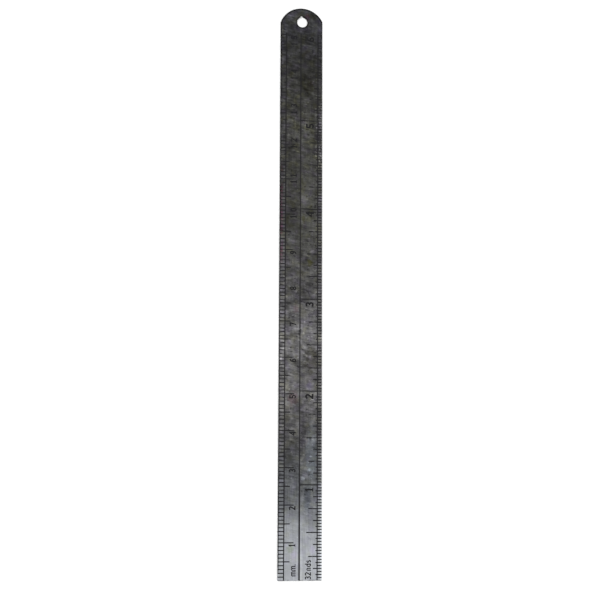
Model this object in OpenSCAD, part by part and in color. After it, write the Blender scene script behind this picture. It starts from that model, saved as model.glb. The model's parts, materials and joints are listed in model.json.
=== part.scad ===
// Narrow six-inch steel rule, lying face up.
// Origin: on the underside, on the centreline, at the zero end.
// +Y runs along the scales to the hanging hole, so a point's Y is its reading in millimetres.
// +X points at the inch edge, -X at the millimetre edge, +Z out of the graduated face.
// The blade is one piece of sheet. Every graduation is a shallow groove, and the black
// filling in each kind of graduation is a node of its own.

/* [Blade] */
// Overall length, from the zero end to the top of the round end
blade_l = 160; // [159:0.5:170]
// Width across the two graduated edges
blade_w = 12; // [11.8:0.1:12.2]
// Thickness of the sheet
blade_t = 0.5; // [0.4:0.05:1]
// Small flat on each long edge and round the end
edge_break = 0.06; // [0.02:0.01:0.07]
// Radius of the round end
end_r = 6.5; // [6.4:0.1:8]
// Distance of the round end's centre from the centreline, towards the inch edge
end_shift = 0.15; // [0:0.05:0.4]

/* [Hanging hole] */
// Diameter of the hole
hole_d = 3; // [2.5:0.1:3.4]
// Distance of the hole's centre from the top of the round end
hole_inset = 4.1; // [3.9:0.1:4.6]
// Distance of the hole's centre from the centreline, towards the inch edge
hole_shift = 0.2; // [0:0.05:0.5]
// Flat where the hole's rims are deburred
hole_break = 0.08; // [0.02:0.01:0.12]
// Width of the nick in the hole's wall, where it meets the hole
nick_w = 0.9; // [0.6:0.1:1.2]
// Depth of the nick, towards the top of the round end
nick_d = 0.5; // [0.2:0.05:0.8]

/* [Graduations] */
// Depth of every groove
groove_d = 0.08; // [0.03:0.01:0.1]
// How far the filling lies below the face
fill_low = 0.015; // [0.005:0.005:0.02]
// Thickness of a graduation
line_t = 0.3; // [0.15:0.01:0.32]
// Thickness of the lines that border the two scales
border_t = 0.32; // [0.2:0.01:0.34]
// Thickness of the line between the two scales
centre_t = 0.35; // [0.2:0.01:0.4]
// Distance of the line between the scales from the centreline, towards the millimetre edge
centre_shift = 0.15; // [0:0.05:0.2]

/* [Millimetre scale] */
// Highest millimetre line
mm_count = 152; // [150:1:152]
// Distance of the border line from the millimetre edge
mm_border_in = 1.65; // [1.5:0.05:1.8]
// How far the half-centimetre lines reach in from the edge
half_cm_in = 3.25; // [2.6:0.05:3.6]
// How far the centimetre lines reach in from the edge
cm_in = 4.3; // [3.7:0.05:4.8]
// Distance from the edge to the foot of the numerals
cm_foot_in = 4.8; // [4.6:0.05:5]
// Height of the numerals
cm_h = 1.85; // [1.6:0.05:2]
// Width of a numeral
cm_w = 1.05; // [0.9:0.05:1.1]
// Thickness of the numerals' strokes
cm_stroke = 0.34; // [0.2:0.01:0.35]

/* [Inch scale] */
// Number of inches
inch_count = 6; // [4:1:6]
// Distance of the border line from the inch edge
inch_border_in = 1.25; // [1.1:0.05:1.3]
// How far the sixteenth lines reach in from the edge
sixteenth_in = 1.7; // [1.5:0.05:1.9]
// How far the eighth lines reach in from the edge
eighth_in = 2.4; // [2.1:0.05:2.6]
// How far the quarter lines reach in from the edge
quarter_in = 3.7; // [3.3:0.05:3.9]
// How far the half-inch lines reach in from the edge
half_inch_in = 4.25; // [4:0.05:4.6]
// Distance from the edge to the foot of the numerals
inch_foot_in = 2.35; // [2.2:0.05:2.4]
// Height of the numerals
inch_h = 2.3; // [2:0.05:2.5]
// Width of a numeral
inch_w = 1.45; // [1.2:0.05:1.5]
// Thickness of the numerals' strokes
inch_stroke = 0.46; // [0.3:0.01:0.48]

/* [Unit marks] */
// Height of the small letters
letter_h = 1.25; // [1:0.05:1.3]
// Thickness of the letters' strokes
letter_stroke = 0.28; // [0.2:0.01:0.28]
// Height of the two small figures before the letters of the inch scale's mark
figure_h = 1.7; // [1.5:0.05:1.8]
// Width of those two figures
figure_w = 0.95; // [0.8:0.05:1]

/* [Hidden] */
steel = [0.36, 0.36, 0.35];
filling = [0.05, 0.05, 0.05];
inch = 25.4;
edge_x = blade_w / 2;
scale_l = inch_count * inch + line_t / 2;
end_y = blade_l - end_r;
hole_r = hole_d / 2;
nick_x = -0.15;                      // middle of the nick, from the hole's centre
over = 0.5;                          // how far a cutter passes the surface that it cuts
mm_border_x = mm_border_in - edge_x;
inch_border_x = edge_x - inch_border_in;
mm_foot_x = cm_foot_in - edge_x;
inch_foot_x = edge_x - inch_foot_in;
cm_gap = 0.32;                       // from a centimetre line to the figure before it
ones_gap = 0.72;                     // from a centimetre line to the second figure of 10 to 15
inch_gap = 0.78;                     // from an inch line to the figure before it
one_w = 0.7;                         // width of a figure 1, as a share of the other figures' width
mm_mark_y = 1.15;                    // where the millimetre scale's mark starts
figures_y = 0.2;                     // where the inch scale's mark starts
mark_foot_x = 3.1;                   // foot of the inch scale's mark
mm_mark_foot_x = -1.1;               // foot of the millimetre scale's mark
m_w = letter_h * 1.06;               // width of a letter m
n_w = 0.8;                           // width of a letter n
d_w = 0.9;                           // width of a letter d
s_w = 0.76;                          // width of a letter s
letter_gap = 0.12;                   // between two letters m, or two figures of a mark
stop_w = 0.26;                       // width of the full stop after the letters m
figures_gap = 0.5;                   // between the inch scale mark's figures and its letters
wide_gap = 0.19;                     // between the letters of the inch scale's mark

// --- strokes ---------------------------------------------------------------------------

// Points along an arc of an ellipse, from angle a0 to angle a1
function arc(c, rx, ry, a0, a1, steps = 10) =
    [for (i = [0:steps]) let (a = a0 + (a1 - a0) * i / steps) c + [rx * cos(a), ry * sin(a)]];

// The normal of a path at its point i
function normal(path, i) =
    let (d = path[min(i + 1, len(path) - 1)] - path[max(i - 1, 0)]) [-d[1], d[0]] / norm(d);

// A band of constant width along a path
module stroke(path, width) {
    last = len(path) - 1;
    polygon(concat(
        [for (i = [0:last]) path[i] - normal(path, i) * width / 2],
        [for (i = [last:-1:0]) path[i] + normal(path, i) * width / 2]
    ));
}

// An elliptical ring that fills a box of width w and height h
module ring(w, h, s) {
    centre = [w / 2, h / 2];
    difference() {
        polygon(arc(centre, w / 2, h / 2, 0, 342, 19));
        polygon(arc(centre, w / 2 - s, h / 2 - s, 0, 342, 19));
    }
}

// --- figures and letters, each in a box from the origin to [w, h] ------------------------

module figure_1(w, h, s) {
    stem = (w - s) / 2;
    translate([stem, 0]) square([s, h]);
    square([w, s * 0.6]);
    polygon([[0, h - 1.2 * s], [0, h - 1.9 * s], [stem + s / 2, h - s], [stem + s / 2, h]]);
}

module figure_2(w, h, s) {
    r = (w - s) / 2;
    bow = arc([w / 2, h - w / 2], r, r, 165, -35);
    stroke(concat(bow, [[s * 0.7, s * 0.5]]), s);
    square([w, s]);
}

module figure_3(w, h, s) {
    rx = (w - s) / 2;
    ry = (h - s) / 4;
    middle = [w / 2 - s * 0.4, h / 2];
    stroke(concat(arc([w / 2, h / 2 + ry], rx * 0.92, ry, 155, -90), [middle]), s);
    stroke(concat([middle], arc([w / 2, h / 2 - ry], rx, ry, 90, -155)), s);
}

module figure_4(w, h, s) {
    stem = w * 0.62;
    bar = h * 0.24;
    translate([stem, 0]) square([s, h]);
    translate([0, bar]) square([w, s * 0.8]);
    stroke([[s * 0.4, bar + s * 0.4], [stem + s * 0.5, h - s * 0.4]], s * 0.8);
}

module figure_5(w, h, s) {
    bowl_h = h * 0.62;
    left = w * 0.1;
    translate([left, h - s]) square([w * 0.84, s]);
    translate([left, bowl_h * 0.78]) square([s * 0.85, h - bowl_h * 0.78]);
    stroke(arc([w / 2, bowl_h / 2], (w - s) / 2, (bowl_h - s) / 2, 140, -155, 14), s);
}

module figure_6(w, h, s) {
    bowl_h = h * 0.6;
    ring(w, bowl_h, s);
    stroke(arc([w * 0.85, bowl_h / 2], w * 0.85 - s / 2, h - bowl_h / 2 - s / 2, 180, 90), s);
}

module figure_7(w, h, s) {
    translate([0, h - s]) square([w, s]);
    stroke([[w - s * 0.6, h - s * 0.5], [w * 0.4, 0]], s);
}

module figure_8(w, h, s) {
    lower_h = h * 0.54;
    ring(w, lower_h, s);
    translate([w * 0.05, lower_h - s]) ring(w * 0.9, h - lower_h + s, s);
}

module figure(n, w, h, s) {
    if (n == 0) ring(w, h, s);
    if (n == 1) figure_1(w * one_w, h, s);
    if (n == 2) figure_2(w, h, s);
    if (n == 3) figure_3(w, h, s);
    if (n == 4) figure_4(w, h, s);
    if (n == 5) figure_5(w, h, s);
    if (n == 6) figure_6(w, h, s);
    if (n == 7) figure_7(w, h, s);
    if (n == 8) figure_8(w, h, s);
    if (n == 9) translate([w, h]) rotate(180) figure_6(w, h, s);
}

function figure_width(n, w) = n == 1 ? w * one_w : w;

// One arch of a small n or m
module arch(w, h, s) {
    r = (w - s) / 2;
    stroke(concat([[s / 2, 0]], arc([w / 2, h - w / 2], r, r, 180, 0, 8), [[w - s / 2, 0]]), s);
}

module letter_m(w, h, s) {
    arch_w = (w + s) / 2;
    arch(arch_w, h, s);
    translate([w - arch_w, 0]) arch(arch_w, h, s);
}

module letter_d(w, h, s) {
    ring(w, h, s);
    translate([w - s, 0]) square([s, h * 1.35]);
}

module letter_s(w, h, s) {
    rx = (w - s) / 2;
    ry = (h - s) / 4;
    upper = arc([w / 2, h / 2 + ry], rx, ry, 30, 270);
    lower = arc([w / 2, h / 2 - ry], rx, ry, 90, -150);
    stroke(concat(upper, [for (i = [1:len(lower) - 1]) lower[i]]), s);
}

// Turns a drawing so that it reads towards +Y, with its foot at x and its start at y
module reading_up(x, y) translate([x, y]) rotate(90) children();

// --- graduations, flat ---------------------------------------------------------------------

// One line across the blade, centred at y, between two distances from the centreline
module line_across(x0, x1, y) translate([x0, y - line_t / 2]) square([x1 - x0, line_t]);

// A line on the millimetre scale: from past the edge to the border, then on to reach
module mm_line(y, reach = 0) {
    line_across(-edge_x - over, mm_border_x - border_t / 2, y);
    if (reach > mm_border_in) line_across(mm_border_x + border_t / 2, reach - edge_x, y);
}

// A line on the inch scale: from past the edge to the border, then on to reach
module inch_line(y, reach = 0) {
    line_across(inch_border_x + border_t / 2, edge_x + over, y);
    if (reach > inch_border_in) line_across(edge_x - reach, inch_border_x - border_t / 2, y);
}

// Lines at the odd multiples of a fraction of an inch
module odd_inch_lines(parts, reach = 0)
    for (k = [1:2:inch_count * parts - 1]) inch_line(k * inch / parts, reach);

module long_line(x, t) translate([x - t / 2, 0]) square([t, scale_l]);

module centre_line_plan() long_line(-centre_shift, centre_t);
module mm_border_plan() long_line(mm_border_x, border_t);
module inch_border_plan() long_line(inch_border_x, border_t);
module mm_lines_plan() for (k = [1:mm_count]) if (k % 5 != 0) mm_line(k);
module half_cm_lines_plan() for (k = [5:10:mm_count]) mm_line(k, half_cm_in);
module cm_lines_plan() for (k = [10:10:mm_count]) mm_line(k, cm_in);
module thirty_second_plan() odd_inch_lines(32);
module sixteenth_plan() odd_inch_lines(16, sixteenth_in);
module eighth_plan() odd_inch_lines(8, eighth_in);
module quarter_plan() odd_inch_lines(4, quarter_in);
module half_inch_plan() odd_inch_lines(2, half_inch_in);
module inch_lines_plan()
    for (k = [1:inch_count]) inch_line(k * inch, edge_x + centre_shift - centre_t / 2);

module cm_figure(n, y) reading_up(mm_foot_x, y) figure(n, cm_w, cm_h, cm_stroke);

module cm_numerals_plan()
    for (k = [1:floor(mm_count / 10)]) {
        first = k < 10 ? k : 1;
        cm_figure(first, k * 10 - cm_gap - figure_width(first, cm_w));
        if (k >= 10) cm_figure(k - 10, k * 10 + ones_gap);
    }

module inch_numerals_plan()
    for (k = [1:inch_count])
        reading_up(inch_foot_x, k * inch - inch_gap - figure_width(k, inch_w))
            figure(k, inch_w, inch_h, inch_stroke);

module mm_mark_plan() {
    step = m_w + letter_gap;
    for (i = [0, 1])
        reading_up(mm_mark_foot_x, mm_mark_y + i * step) letter_m(m_w, letter_h, letter_stroke);
    reading_up(mm_mark_foot_x, mm_mark_y + 2 * step) square(stop_w);
}

module thirty_seconds_plan() {
    s = letter_stroke;
    n_y = figures_y + 2 * figure_w + figures_gap;
    d_y = n_y + n_w + wide_gap;
    s_y = d_y + d_w + wide_gap;
    reading_up(mark_foot_x, figures_y) figure(3, figure_w, figure_h, s);
    reading_up(mark_foot_x, figures_y + figure_w + letter_gap) figure(2, figure_w, figure_h, s);
    reading_up(mark_foot_x, n_y) arch(n_w, letter_h, s);
    reading_up(mark_foot_x, d_y) letter_d(d_w, letter_h, s);
    reading_up(mark_foot_x, s_y) letter_s(s_w, letter_h, s);
}

// --- solids --------------------------------------------------------------------------------

// The straight strip, with its four long edges broken
module strip() {
    b = edge_break;
    profile = [
        [b - edge_x, 0], [edge_x - b, 0], [edge_x, b], [edge_x, blade_t - b],
        [edge_x - b, blade_t], [b - edge_x, blade_t], [-edge_x, blade_t - b], [-edge_x, b]
    ];
    translate([0, blade_l, 0]) rotate([90, 0, 0]) linear_extrude(blade_l) polygon(profile);
}

// What the strip is trimmed to: everything below the round end, and the round end's disc
module end_trim() {
    b = edge_break;
    translate([-blade_w, 0, 0]) cube([2 * blade_w, end_y, blade_t]);
    translate([end_shift, end_y, 0]) rotate_extrude($fn = 128)
        polygon([
            [0, 0], [end_r - b, 0], [end_r, b],
            [end_r, blade_t - b], [end_r - b, blade_t], [0, blade_t]
        ]);
}

// The hanging hole, with its broken rims and the nick in its wall
module hole_cut() {
    flare = over + hole_break;
    translate([hole_shift, blade_l - hole_inset, 0]) {
        translate([0, 0, -over]) cylinder(r = hole_r, h = blade_t + 2 * over, $fn = 96);
        translate([0, 0, blade_t - hole_break])
            cylinder(r1 = hole_r, r2 = hole_r + flare, h = flare, $fn = 96);
        translate([0, 0, -over]) cylinder(r1 = hole_r + flare, r2 = hole_r, h = flare, $fn = 96);
        translate([nick_x, 0, -over]) linear_extrude(blade_t + 2 * over)
            polygon([
                [-nick_w / 2, hole_r * 0.8], [nick_w / 2, hole_r * 0.8],
                [nick_w * 0.2, hole_r + nick_d], [-nick_w * 0.25, hole_r + nick_d]
            ]);
    }
}

// Cuts a flat drawing into the face
module groove() translate([0, 0, blade_t - groove_d]) linear_extrude(groove_d + over) children();

// Fills the groove of a flat drawing, and stops at the blade's broken edges
module fill()
    color(filling) intersection() {
        translate([0, 0, blade_t - groove_d]) linear_extrude(groove_d - fill_low) children();
        strip();
    }

module blade()
    color(steel) difference() {
        intersection() {
            strip();
            end_trim();
        }
        hole_cut();
        groove() centre_line_plan();
        groove() mm_border_plan();
        groove() inch_border_plan();
        groove() mm_lines_plan();
        groove() half_cm_lines_plan();
        groove() cm_lines_plan();
        groove() thirty_second_plan();
        groove() sixteenth_plan();
        groove() eighth_plan();
        groove() quarter_plan();
        groove() half_inch_plan();
        groove() inch_lines_plan();
        groove() cm_numerals_plan();
        groove() inch_numerals_plan();
        groove() mm_mark_plan();
        groove() thirty_seconds_plan();
    }

module centre_line() fill() centre_line_plan();
module mm_border_line() fill() mm_border_plan();
module mm_lines() fill() mm_lines_plan();
module half_centimetre_lines() fill() half_cm_lines_plan();
module centimetre_lines() fill() cm_lines_plan();
module centimetre_numerals() fill() cm_numerals_plan();
module mm_mark() fill() mm_mark_plan();
module inch_border_line() fill() inch_border_plan();
module thirty_second_lines() fill() thirty_second_plan();
module sixteenth_lines() fill() sixteenth_plan();
module eighth_lines() fill() eighth_plan();
module quarter_lines() fill() quarter_plan();
module half_inch_lines() fill() half_inch_plan();
module inch_lines() fill() inch_lines_plan();
module inch_numerals() fill() inch_numerals_plan();
module thirty_seconds_mark() fill() thirty_seconds_plan();

blade();
centre_line();
mm_border_line();
mm_lines();
half_centimetre_lines();
centimetre_lines();
centimetre_numerals();
mm_mark();
inch_border_line();
thirty_second_lines();
sixteenth_lines();
eighth_lines();
quarter_lines();
half_inch_lines();
inch_lines();
inch_numerals();
thirty_seconds_mark();
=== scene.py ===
"""The looks of an old six-inch steel rule, lying face up on a white table.

Everything is in metres in the rule's own frame: +Y runs along the scales from the zero end,
+X points at the inch edge, and +Z comes out of the graduated face. The materials work in
millimetres, so that a point's Y is its reading on the millimetre scale.
"""

import json
import math

import bpy
from mathutils import Matrix, Vector


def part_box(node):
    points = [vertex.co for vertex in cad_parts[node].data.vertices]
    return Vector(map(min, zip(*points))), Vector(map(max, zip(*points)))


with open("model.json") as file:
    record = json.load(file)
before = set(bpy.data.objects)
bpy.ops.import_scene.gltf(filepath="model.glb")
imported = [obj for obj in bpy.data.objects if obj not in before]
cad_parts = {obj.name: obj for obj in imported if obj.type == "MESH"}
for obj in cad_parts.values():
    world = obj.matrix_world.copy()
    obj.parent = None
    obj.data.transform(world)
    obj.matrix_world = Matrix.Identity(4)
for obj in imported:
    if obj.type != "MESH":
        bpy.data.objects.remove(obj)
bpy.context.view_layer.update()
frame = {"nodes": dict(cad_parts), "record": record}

MM = 0.001
blade_low, blade_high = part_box("blade")
LENGTH = (blade_high.y - blade_low.y) / MM
HALF_WIDTH = (blade_high.x - blade_low.x) / 2 / MM
FACE_Z = blade_high.z / MM
CENTRE_LINE_X = sum(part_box("centre_line"), Vector()).x / 2 / MM
HOLE = Vector(frame["record"]["mounts"][0]["pos_m"]) / MM
HOLE_R = frame["record"]["mounts"][0]["dims"]["r_mm"]
TIP_CENTRE = (0.15, 153.5)           # of the round end
TIP_R = 6.5


# --- camera -------------------------------------------------------------------------------

AIM_SHARE = 0.4744                   # how far along the blade the camera aims
AIM_X = -0.18 * MM
CAMERA_OFFSET = Vector((-52.7, -44.6, 324.4)) * MM   # from the aim point to the camera
CAMERA_ROLL = math.radians(0.22)
CAMERA_LENS = 72
SENSOR_WIDTH = 36
NEAREST_SEEN = 0.01


def add_camera():
    """The camera is almost overhead, with the hanging hole at the top of the picture."""
    aim = Vector((AIM_X, blade_low.y + AIM_SHARE * LENGTH * MM, blade_high.z))
    camera = bpy.data.objects.new("camera", bpy.data.cameras.new("camera"))
    camera.data.lens = CAMERA_LENS
    camera.data.sensor_width = SENSOR_WIDTH
    camera.data.clip_start = NEAREST_SEEN
    back = CAMERA_OFFSET.normalized()
    right = Vector((0, 1, 0)).cross(back).normalized()
    turn = Matrix((right, back.cross(right), back)).transposed()
    turn = turn @ Matrix.Rotation(CAMERA_ROLL, 3, "Z")
    camera.matrix_world = Matrix.Translation(aim + CAMERA_OFFSET) @ turn.to_4x4()
    bpy.context.collection.objects.link(camera)
    bpy.context.scene.camera = camera


# --- floor and light ------------------------------------------------------------------------

FLOOR_HALF = 1.5
FLOOR_WHITE = (0.95, 0.95, 0.95, 1)
SKY_STRENGTH = 1.05
# (name, place, size, watts)
SOFTBOXES = [
    ("window", (-0.9, 0.5, 0.9), (0.8, 0.8), 6),
    ("fill_light", (0.8, -0.6, 0.9), (0.7, 0.7), 4),
]


def add_floor():
    mesh = bpy.data.meshes.new("floor")
    h = FLOOR_HALF
    mesh.from_pydata([(-h, -h, 0), (h, -h, 0), (h, h, 0), (-h, h, 0)], [], [(0, 1, 2, 3)])
    floor = bpy.data.objects.new("floor", mesh)
    bpy.context.collection.objects.link(floor)
    paint = bpy.data.materials.new("floor_white")
    paint.use_nodes = True
    shader = paint.node_tree.nodes["Principled BSDF"]
    shader.inputs["Base Color"].default_value = FLOOR_WHITE
    shader.inputs["Roughness"].default_value = 0.9
    shader.inputs["Specular IOR Level"].default_value = 0.0
    mesh.materials.append(paint)


def add_sky():
    world = bpy.data.worlds.new("studio")
    bpy.context.scene.world = world
    world.use_nodes = True
    background = world.node_tree.nodes["Background"]
    background.inputs["Color"].default_value = (1, 1, 1, 1)
    background.inputs["Strength"].default_value = SKY_STRENGTH


def add_softbox(name, place, size, watts):
    """A rectangular lamp that points at the middle of the rule."""
    light = bpy.data.lights.new(name, "AREA")
    light.shape = "RECTANGLE"
    light.size, light.size_y = size
    light.energy = watts
    lamp = bpy.data.objects.new(name, light)
    place = Vector(place)
    aim = Vector((0, LENGTH / 2 * MM, 0))
    turn = (aim - place).to_track_quat("-Z", "Y").to_matrix().to_4x4()
    lamp.matrix_world = Matrix.Translation(place) @ turn
    bpy.context.collection.objects.link(lamp)


# --- material graphs ------------------------------------------------------------------------

class Graph:
    """The nodes of one material. Each call adds a node and gives its output."""

    def __init__(self, name):
        self.material = bpy.data.materials.new(name)
        self.material.use_nodes = True
        self.tree = self.material.node_tree
        self.shader = self.tree.nodes["Principled BSDF"]
        metres = self.add("ShaderNodeTexCoord", {}, output="Object")
        scale = {0: metres, "Scale": 1 / MM}
        self.place = self.add("ShaderNodeVectorMath", scale, operation="SCALE")
        parts = self.tree.nodes.new("ShaderNodeSeparateXYZ")
        self.feed(parts.inputs[0], self.place)
        self.x, self.y, self.z = parts.outputs

    def feed(self, socket, value):
        if isinstance(value, bpy.types.NodeSocket):
            self.tree.links.new(value, socket)
        else:
            socket.default_value = value

    def add(self, kind, inputs, output=0, **settings):
        node = self.tree.nodes.new(kind)
        for name, value in settings.items():
            setattr(node, name, value)
        for name, value in inputs.items():
            self.feed(node.inputs[name], value)
        return node.outputs[output]

    def math(self, operation, *values):
        return self.add("ShaderNodeMath", dict(enumerate(values)), operation=operation)

    def plus(self, *values):
        total = values[0]
        for value in values[1:]:
            total = self.math("ADD", total, value)
        return total

    def times(self, *values):
        product = values[0]
        for value in values[1:]:
            product = self.math("MULTIPLY", product, value)
        return product

    def step(self, value, low, high, to_low=0.0, to_high=1.0):
        """Goes smoothly from to_low to to_high as value goes from low to high."""
        inputs = {0: value, 1: low, 2: high, 3: to_low, 4: to_high}
        return self.add("ShaderNodeMapRange", inputs, interpolation_type="SMOOTHSTEP")

    def between(self, value, rise, fall):
        """1 between two ranges of value: it rises over the first and falls over the second."""
        return self.times(self.step(value, *rise), self.step(value, *fall))

    def noise(self, size, seed, detail=3.0, rough=0.5, place=None):
        """Noise with features of that size in millimetres: a number, or one along each axis."""
        sizes = size if isinstance(size, tuple) else (size, size, size)
        inputs = {
            "Vector": place or self.place,
            "Location": (seed * 7.31, seed * 3.17, seed * 5.71),
            "Scale": tuple(1 / s for s in sizes),
        }
        where = self.add("ShaderNodeMapping", inputs)
        inputs = {"Vector": where, "Scale": 1.0, "Detail": detail, "Roughness": rough}
        return self.add("ShaderNodeTexNoise", inputs)

    def turned(self, degrees):
        """The place on the face, turned about Z."""
        inputs = {"Vector": self.place, "Angle": math.radians(degrees)}
        return self.add("ShaderNodeVectorRotate", inputs, rotation_type="Z_AXIS")

    def centred(self, noise):
        """A noise that varies about 0 instead of 0.5."""
        return self.math("SUBTRACT", noise, 0.5)

    def curve(self, value, stops):
        """The height of a line through the stops (value, height), at value."""
        first, last = stops[0][0], stops[-1][0]
        share = self.add("ShaderNodeMapRange", {0: value, 1: first, 2: last})
        ramp = self.tree.nodes.new("ShaderNodeValToRGB")
        self.feed(ramp.inputs[0], share)
        elements = ramp.color_ramp.elements
        for i, (at, height) in enumerate(stops):
            spot = (at - first) / (last - first)
            element = elements[i] if i < 2 else elements.new(spot)
            element.position = spot
            element.color = (height, height, height, 1)
        return ramp.outputs[0]

    def mix(self, share, first, second):
        """A blend of two colours."""
        node = self.tree.nodes.new("ShaderNodeMix")
        node.data_type = "RGBA"
        self.feed(node.inputs[0], share)
        self.feed(node.inputs[6], self.colour(first))
        self.feed(node.inputs[7], self.colour(second))
        return node.outputs[2]

    def tint(self, colour, by):
        """A colour times another colour or a number."""
        node = self.tree.nodes.new("ShaderNodeMix")
        node.data_type = "RGBA"
        node.blend_type = "MULTIPLY"
        node.inputs[0].default_value = 1.0
        self.feed(node.inputs[6], self.colour(colour))
        self.feed(node.inputs[7], self.colour(by))
        return node.outputs[2]

    def bump(self, height, depth):
        """A normal for a height from 0 to 1 that stands for that depth in millimetres."""
        inputs = {"Height": height, "Distance": depth * MM, "Strength": 1.0}
        return self.add("ShaderNodeBump", inputs)

    @staticmethod
    def colour(value):
        if isinstance(value, bpy.types.NodeSocket):
            return value
        if isinstance(value, tuple):
            return (*value, 1.0)
        return (value, value, value, 1.0)


# --- materials ------------------------------------------------------------------------------

# Lightness of the bare face along the rule: (reading in millimetres, lightness). Its brightness
# at the zero end is partly cleaner steel and partly a painted reflection.
LEFT_TONES = [
    (0, 0.35), (6, 0.345), (14, 0.265), (18, 0.18), (22, 0.112), (28, 0.08), (35, 0.068),
    (42, 0.092), (62, 0.125), (69, 0.118), (76, 0.083), (85, 0.083), (98, 0.051), (120, 0.05),
    (127, 0.054), (133, 0.042), (150, 0.034), (156, 0.046),
]
RIGHT_TONES = [
    (0, 0.385), (6, 0.36), (14, 0.29), (18, 0.195), (22, 0.128), (28, 0.11), (35, 0.08),
    (44, 0.085), (53, 0.122), (59, 0.09), (67, 0.13), (78, 0.077), (86, 0.063), (105, 0.07),
    (118, 0.052), (125, 0.056), (137, 0.034), (150, 0.033), (156, 0.04),
]
# Strength along the rule of the clouds, and of the streaks that run lengthwise
CLOUDINESS = [
    (0, 0.15), (16, 0.3), (24, 0.8), (40, 1.05), (82, 1.05), (98, 0.8), (112, 0.85), (124, 1.1),
    (160, 1.05),
]
STREAKINESS = [
    (0, 0.35), (14, 0.6), (20, 1.0), (30, 0.6), (60, 0.35), (100, 0.4), (125, 0.8), (160, 0.5),
]
# How stained the face is, and how strongly its light flecks, which are painted glints, show
STAINING = [(0, 0.2), (40, 0.6), (80, 0.65), (100, 0.9), (160, 1)]
GLINT_FLECKING = [(0, 0.1), (20, 0.5), (40, 1), (160, 0.6)]
# How much lighter the strips with the graduations are, and the painted highlight on the outer
# edge of the right one
LEFT_STRIP = [
    (0, 0), (20, 0.1), (32, 0.5), (48, 0.35), (80, 0.38), (92, 0.6), (120, 0.1), (160, 0.1),
]
RIGHT_STRIP = [
    (0, 0), (24, 0.5), (36, 0.3), (44, 0), (72, 0), (82, 0.3), (96, 0.3), (160, 0.1),
]
RIGHT_EDGE_HIGHLIGHT = [(0, 0.6), (36, 0.7), (46, 0.2), (100, 0.1), (160, 0)]
BLUE_STEEL = (0.955, 0.995, 1.06)
# The hues that the steel takes on after blue, each over a range of readings
LATER_HUES = [
    (24, 42, (1.0, 0.985, 1.0)),  # grey
    (76, 96, (1.0, 1.0, 0.93)),  # greenish
    (140, 152, (0.98, 0.99, 1.03)),  # dark blue
]
STRIP_TINT = (0.99, 0.98, 1.07)
OLIVE = (1.03, 1.02, 0.82)
VIOLET = (1.0, 0.94, 1.12)
CRIMSON = (0.84, 0.52, 0.65)
# Where each starts and where it ends, as ranges of readings
CRIMSON_READINGS = (84, 90), (116, 110)
GLINT_SPECK_READINGS = (108, 116), (137, 131)
RING_CENTRE = (0.6, 77.0)            # of a ring that something round has worn into the face
RING_R = 1.9
# Stains, rubbed places and painted glints: (reading, x, half length, half width, (red, green,
# blue) factors)
PATCHES = [
    (6.6, -1.6, 1.7, 0.9, (1.12, 1.06, 1.2)),  # lavender, by the millimetre mark
    (8.4, -2.7, 1.4, 1.2, (0.84, 0.88, 0.74)),  # olive, beside it
    (8.0, 3.4, 1.5, 0.9, (1.14, 1.1, 1.2)),  # lavender, right half
    (21.5, 2.0, 4.0, 1.1, (0.72, 0.75, 0.79)),  # dark lengthwise streaks
    (15.5, 2.9, 4.5, 1.2, (0.88, 0.88, 0.89)),
    (27.2, 0.9, 0.65, 0.7, (2.2, 2.25, 2.3)),  # glints above the first inch
    (29.4, 2.4, 0.5, 0.8, (1.7, 1.75, 1.8)),
    (34.5, 3.2, 8.5, 1.8, (1.3, 1.4, 1.48)),  # blue sheen
    (39.0, 0.8, 7.0, 0.8, (0.76, 0.76, 0.78)),  # smudges beside the centre line
    (46.2, -3.0, 1.6, 1.0, (1.4, 1.38, 1.36)),
    (48.8, -2.0, 2.0, 1.7, (1.12, 0.93, 0.95)),  # reddish, round a figure
    (52.0, 2.7, 1.2, 1.0, (1.05, 1.02, 1.2)),  # lavender
    (54.2, 2.2, 1.3, 1.9, (1.35, 1.33, 1.3)),
    (59.5, 3.2, 4.2, 2.3, (0.7, 0.69, 0.63)),  # brown, right half
    (67.0, 2.4, 3.0, 2.2, (1.25, 1.25, 1.25)),
    (67.4, -0.1, 2.4, 0.4, (0.4, 0.4, 0.4)),  # black smear on the centre line
    (73.4, -1.3, 1.4, 0.9, (1.28, 1.1, 1.12)),  # pink
    (86.5, 2.5, 1.2, 0.9, (0.82, 0.8, 0.45)),  # olive spot
    (93.8, -2.8, 2.6, 1.5, (1.2, 1.2, 1.28)),
    (98.6, 0.7, 2.0, 0.5, (0.85, 0.84, 0.62)),
    (105.5, 1.6, 3.5, 1.6, (1.12, 1.11, 1.18)),
    (127.5, 1.2, 3.0, 1.5, (1.4, 1.38, 1.36)),
    (137.0, 2.4, 2.6, 1.4, (0.8, 0.79, 0.65)),
    (146.5, 1.5, 1.8, 1.2, (1.25, 1.2, 1.32)),
    (157.4, 1.6, 1.2, 0.9, (1.15, 0.72, 0.95)),  # crimson, beside the hanging hole
    (158.8, 1.9, 0.7, 1.6, (1.4, 1.4, 1.45)),
]


def on_face(g):
    """1 on the graduated side of the blade and 0 on its plain underside."""
    return g.step(g.z, FACE_Z * 0.5, FACE_Z * 0.7)


def patch(g, warp, reading, x, half_length, half_width):
    """1 in the middle of an oval patch and 0 outside it, with an uneven border."""
    along = g.math("DIVIDE", g.plus(g.y, -reading), half_length)
    across = g.math("DIVIDE", g.plus(g.x, -x), half_width)
    far = g.plus(g.times(along, along), g.times(across, across), warp)
    return g.step(far, 1.2, 0.1)


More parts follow.
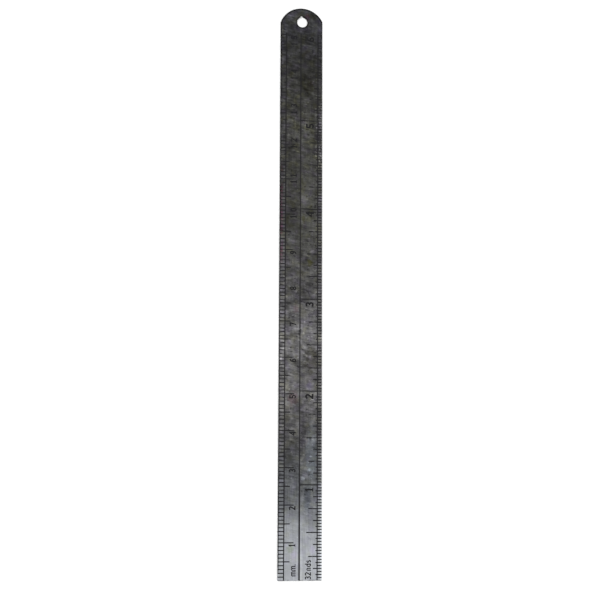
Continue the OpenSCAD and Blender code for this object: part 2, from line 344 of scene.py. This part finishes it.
def face_colour(g):
    """The colour of the old steel, which is bright at the zero end and dark at the other: partly
    cleaner steel and tarnish, partly a painted reflection. Some of its patches are painted
    glints.
    """
    broad = g.centred(g.noise(9, 1))
    blotch = g.centred(g.noise(3.6, 14, detail=2))
    mottle = g.centred(g.noise(1.3, 2, detail=4, rough=0.6))
    wisps = g.centred(g.noise((2.4, 0.45, 1), 3, detail=3, rough=0.6, place=g.turned(12)))
    streaks = g.centred(g.noise((0.3, 6, 1), 15, detail=3, rough=0.6))
    along = g.plus(g.y, g.times(broad, 10), g.times(mottle, 5))
    right = g.step(g.plus(g.x, g.times(mottle, 2)), -0.7, 0.5)
    tone = g.mix(right, g.curve(along, LEFT_TONES), g.curve(along, RIGHT_TONES))
    cloud = g.plus(g.times(blotch, 1.6), g.times(mottle, 1.9), g.times(wisps, 1.9))
    cloud = g.times(cloud, g.curve(g.y, CLOUDINESS))
    cloud = g.plus(cloud, g.times(streaks, 1.1, g.curve(g.y, STREAKINESS)))
    tone = g.tint(tone, g.math("EXPONENT", cloud))
    hue = BLUE_STEEL
    for start, end, next_hue in LATER_HUES:
        hue = g.mix(g.step(along, start, end), hue, next_hue)
    stain = g.noise(2.2, 4, detail=3)
    stained = g.curve(g.y, STAINING)
    hue = g.mix(g.times(g.step(stain, 0.5, 0.66), stained), hue, g.tint(hue, OLIVE))
    hue = g.mix(g.times(g.step(stain, 0.48, 0.34), stained), hue, g.tint(hue, VIOLET))
    colour = g.tint(tone, hue)
    fine = g.centred(g.noise(0.5, 18))
    warp = g.plus(g.times(mottle, 2.2), g.times(wisps, 2), g.times(fine, 2.5))
    face = on_face(g)
    for reading, x, half_length, half_width, factors in PATCHES:
        share = g.times(patch(g, warp, reading, x, half_length, half_width), face)
        colour = g.mix(share, colour, g.tint(colour, factors))
    return colour


def distance(g, x, y):
    """How far a place is from a point of the face."""
    dx, dy = g.plus(g.x, -x), g.plus(g.y, -y)
    return g.math("SQRT", g.plus(g.times(dx, dx), g.times(dy, dy)))


def darken(g, colour, where, share):
    """The colour, darker by that share where where is 1. A share below 0 makes it lighter."""
    return g.tint(colour, g.plus(1, g.times(where, -share)))


def wear_and_painted_highlights(g, colour, grain):
    """Grain, light flecks that are painted glints, pits, a painted highlight beside the centre
    line, and grime stuck along it.
    """
    face = on_face(g)
    colour = g.tint(colour, g.step(grain, 0.3, 0.7, 0.94, 1.06))
    # a painted highlight: a lighter strip beside the centre line near the zero end
    from_line = g.plus(g.x, -CENTRE_LINE_X)
    beside = g.times(g.between(from_line, (0.1, 0.25), (0.8, 0.4)), face)
    colour = g.tint(colour, g.plus(1, g.times(beside, g.step(g.y, 20, 8), 0.22)))
    # grime that clings to the centre line where the face is bright
    near = g.step(g.math("ABSOLUTE", from_line), 0.3, 0.2)
    colour = darken(g, colour, g.times(near, g.step(g.y, 26, 18), face), 0.6)
    # light flecks, which are painted glints, and dark pits
    glint_noise = g.noise((0.9, 0.5, 1), 7, detail=2, place=g.turned(15))
    painted_glints = g.times(g.step(glint_noise, 0.64, 0.76), g.curve(g.y, GLINT_FLECKING))
    colour = darken(g, colour, painted_glints, -1.1)
    pitted = g.times(g.step(g.noise(0.7, 8, detail=1), 0.36, 0.27), g.step(g.y, 4, 30))
    colour = darken(g, colour, pitted, 0.45)
    # the upper half of the worn ring
    from_ring = g.math("ABSOLUTE", g.plus(distance(g, *RING_CENTRE), -RING_R))
    ring = g.times(g.step(from_ring, 0.24, 0.08), g.step(g.y, 76.4, 77.6), face)
    return darken(g, colour, ring, 0.4)


def graduated_strips(g, colour):
    """The strips that carry the graduations are lighter, and tinted in places; the inch edge has
    a painted highlight and painted glints.
    """
    face = on_face(g)
    left_strip = g.step(g.x, 1.7 - HALF_WIDTH, 1.4 - HALF_WIDTH)
    left_strip = g.times(left_strip, g.curve(g.y, LEFT_STRIP))
    right_strip = g.step(g.x, HALF_WIDTH - 1.3, HALF_WIDTH - 1.1)
    right_strip = g.times(right_strip, g.curve(g.y, RIGHT_STRIP))
    colour = g.tint(colour, g.plus(1, g.times(g.plus(left_strip, right_strip), face)))
    strips = g.step(g.math("ABSOLUTE", g.x), HALF_WIDTH - 1.6, HALF_WIDTH - 1.2)
    strips = g.times(strips, g.step(g.y, 70, 90), face)
    colour = g.mix(strips, colour, g.tint(colour, STRIP_TINT))
    # a painted highlight along the inch edge
    right_edge_highlight = g.step(g.x, HALF_WIDTH - 0.7, HALF_WIDTH - 0.2)
    colour = g.tint(colour, g.plus(1, g.times(right_edge_highlight, g.curve(g.y, RIGHT_EDGE_HIGHLIGHT))))
    # painted glints: bright specks on the inch scale's strip
    glint_strip = g.times(g.between(g.y, *GLINT_SPECK_READINGS), face)
    glint_strip = g.times(glint_strip, g.step(g.x, HALF_WIDTH - 2.1, HALF_WIDTH - 1.7))
    specks = g.times(glint_strip, g.step(g.noise(0.45, 19, detail=1), 0.56, 0.66))
    colour = darken(g, colour, specks, -2.2)
    # a crimson stain along the millimetre edge
    stain = g.step(g.x, 1.2 - HALF_WIDTH, 0.7 - HALF_WIDTH)
    stain = g.times(stain, g.between(g.y, *CRIMSON_READINGS), face)
    stain = g.times(stain, g.step(g.noise((3, 3.5, 3), 16, detail=1), 0.4, 0.56))
    return g.mix(stain, colour, g.tint(colour, CRIMSON))


def painted_shade_rims(g, colour):
    """Painted shade along the millimetre edge, the zero end, the round end and the hole's rim,
    and on the cut sides.
    """
    # painted shade along the millimetre edge
    left_edge_shade = g.step(g.x, 0.4 - HALF_WIDTH, 0.2 - HALF_WIDTH)
    colour = darken(g, colour, g.times(left_edge_shade, g.step(g.y, 1.5, 3)), 0.78)
    # painted shade along the zero end
    end_edge_shade = g.times(g.step(g.y, 0.3, 0.1), g.step(g.noise(2, 17), 0.4, 0.55))
    colour = darken(g, colour, end_edge_shade, 0.6)
    # painted shade round the rim of the round end
    tip_edge_shade = g.step(distance(g, *TIP_CENTRE), TIP_R - 0.6, TIP_R - 0.25)
    colour = darken(g, colour, g.times(tip_edge_shade, g.step(g.y, 150, 153)), 0.75)
    # painted shade round the rim of the hanging hole
    hole_edge_shade = g.step(distance(g, HOLE.x, HOLE.y), HOLE_R + 0.5, HOLE_R + 0.2)
    colour = darken(g, colour, hole_edge_shade, 0.6)
    # painted shade on the cut sides, where the normal leans away from upright
    normal = g.add("ShaderNodeTexCoord", {}, output="Normal")
    upright = g.tree.nodes.new("ShaderNodeSeparateXYZ")
    g.feed(upright.inputs[0], normal)
    side = g.step(g.math("ABSOLUTE", upright.outputs[2]), 0.7, 0.3)
    return darken(g, colour, side, 0.45)


def worn_steel():
    """Old carbon steel: patina, pits and scratches, with painted shade along its rims, a painted
    highlight along the inch edge and painted glints.
    """
    g = Graph("worn_steel")
    grain = g.noise((0.2, 6, 0.2), 6, detail=4, rough=0.6)
    colour = wear_and_painted_highlights(g, face_colour(g), grain)
    colour = graduated_strips(g, colour)
    g.feed(g.shader.inputs["Base Color"], painted_shade_rims(g, colour))
    g.feed(g.shader.inputs["Roughness"], g.step(g.noise(1.6, 9), 0.3, 0.7, 0.34, 0.52))
    g.shader.inputs["Metallic"].default_value = 1.0
    heights = g.plus(g.times(grain, 0.4), g.noise(0.6, 10))
    g.feed(g.shader.inputs["Normal"], g.bump(heights, 0.02))
    return g.material


BORDER_LINES = ["mm_border_line", "inch_border_line"]
FIGURES = ["centimetre_numerals", "inch_numerals", "mm_mark", "thirty_seconds_mark"]
BLACK = (0.005, 0.005, 0.006)
# How far the filling is rubbed away along the rule
WEAR = [
    (0, 0), (22, 0.02), (34, 0.12), (60, 0.16), (88, 0.13), (106, 0.12), (118, 0.2), (160, 0.28),
]


def black_filling(name, wear, thin=0.0):
    """The black that fills the graduations, rubbed away in places towards the hanging hole.

    thin is the share of steel that shines through all along, past the first centimetres.
    """
    g = Graph(name)
    steel = g.tint(face_colour(g), 0.8)
    rubbed = g.plus(g.noise(1.8, 11), -0.14, g.times(g.curve(g.y, WEAR), wear))
    worn = g.step(rubbed, 0.5, 0.72, g.step(g.y, 20, 40, 0.0, thin), 0.85)
    colour = g.mix(worn, BLACK, steel)
    g.feed(g.shader.inputs["Base Color"], colour)
    g.feed(g.shader.inputs["Roughness"], g.step(g.noise(0.5, 12), 0.3, 0.7, 0.5, 0.7))
    g.feed(g.shader.inputs["Normal"], g.bump(g.noise(0.25, 13), 0.02))
    g.shader.inputs["Specular IOR Level"].default_value = 0.15
    return g.material


def dress(names, material):
    for name in names:
        materials = frame["nodes"][name].data.materials
        materials.clear()
        materials.append(material)


# --- the scene ------------------------------------------------------------------------------

add_camera()
add_floor()
add_sky()
for softbox in SOFTBOXES:
    add_softbox(*softbox)
dress(["blade"], worn_steel())
dress(["centre_line"], black_filling("filling_of_centre_line", 0.1, thin=0.14))
dress(BORDER_LINES, black_filling("filling_of_border_lines", 0.3, thin=0.05))
dress(FIGURES, black_filling("filling_of_figures", 0.1))
others = set(frame["nodes"]) - {"blade", "centre_line", *BORDER_LINES, *FIGURES}
dress(sorted(others), black_filling("filling_of_graduations", 1.0))

bpy.context.scene.view_settings.view_transform = "Standard"
